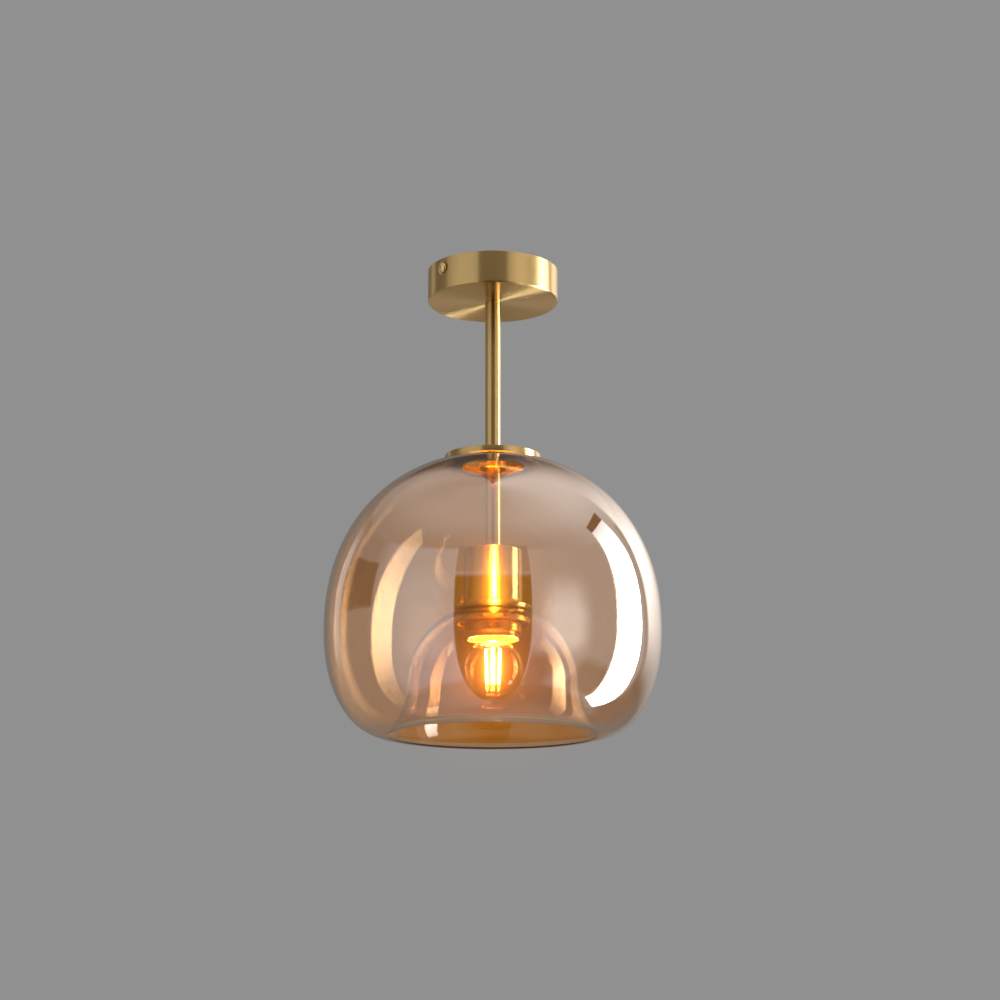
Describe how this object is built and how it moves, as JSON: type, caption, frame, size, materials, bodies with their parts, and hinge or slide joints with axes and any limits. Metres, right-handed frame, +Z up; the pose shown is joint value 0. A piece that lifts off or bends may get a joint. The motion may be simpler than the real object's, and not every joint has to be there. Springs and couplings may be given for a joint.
{
  "type": "pendant light",
  "caption": "Rod-hung ceiling pendant: a round brass canopy and stem carry a blown amber glass bubble whose bell-shaped hollow holds a small globe lamp.",
  "frame": {"origin": "middle of the ceiling face of the mounting bracket, on the stem's axis", "axes": "+Z up, out of the ceiling face; +X along the mounting bracket, through both side screws"},
  "size_m": [0.2515, 0.2514, 0.3594],
  "materials": {
    "brass_satin": "satin, lathe-turned and lacquered",
    "brass_plain": "plain turned or pressed brass",
    "zinc_steel": "bright zinc-plated steel",
    "glass_amber": "blown amber glass with a thin mirror-like tint",
    "silicone_clear": "translucent silicone",
    "rubber_black": "matt black rubber",
    "nylon_white": "moulded nylon",
    "wire_brown": "brown insulation",
    "wire_blue": "blue insulation",
    "wire_green_yellow": "green and yellow insulation",
    "porcelain": "unglazed steatite",
    "lamp_metal": "bright pressed metal",
    "lamp_insulator": "black glass insulator",
    "lamp_glass": "clear warm lamp glass",
    "circuit_board": "circuit board with its parts",
    "filament": "phosphor-coated light strip, lit"
  },
  "bodies": {
    "fixture": {"mounting_bracket": "zinc_steel", "earth_screw": "brass_plain", "canopy": "brass_satin", "canopy_side_screws": "brass_plain", "terminal_block": "nylon_white", "terminal_barrels": "brass_plain", "terminal_screws": "zinc_steel", "live_wire": "wire_brown", "neutral_wire": "wire_blue", "earth_wire": "wire_green_yellow", "stem": "brass_satin", "top_nipple": "brass_plain", "canopy_washer": "zinc_steel", "canopy_lock_nut": "zinc_steel", "top_cap": "brass_satin", "cap_grub_screw": "zinc_steel", "top_seal": "silicone_clear", "glass_shade": "glass_amber", "brim_gasket": "rubber_black", "lampholder_cup": "brass_satin", "bottom_nipple": "brass_plain", "cup_lock_nut": "zinc_steel", "holder_rear_cap": "brass_plain", "holder_skirt": "brass_plain", "holder_insert": "porcelain", "holder_terminals": "brass_plain", "holder_terminal_screws": "zinc_steel", "socket_screw_shell": "brass_plain", "socket_centre_contact": "brass_plain", "shade_ring": "brass_plain"},
    "bulb_carriage": {"bulb_contact_tip": "lamp_metal"},
    "bulb": {"bulb_insulator": "lamp_insulator", "bulb_screw_cap": "lamp_metal", "bulb_driver_board": "circuit_board", "bulb_globe": "lamp_glass", "bulb_mount": "lamp_glass", "bulb_support_wires": "lamp_metal", "bulb_filaments": "filament"}
  },
  "joints": [
    {"name": "bulb_travel", "type": "slide", "parent": "fixture", "child": "bulb_carriage", "axis": [0, 0, -1], "range_m": [0, 0.01452]},
    {"name": "bulb_turn", "type": "hinge", "parent": "bulb_carriage", "child": "bulb", "pos_m": [0, 0, -0.31], "axis": [0, 0, -1], "range_deg": [0, 1440]}
  ],
  "couplings": [
    {"joint": "bulb_travel", "follows": "bulb_turn", "m_per_rad": 0.00057773}
  ]
}
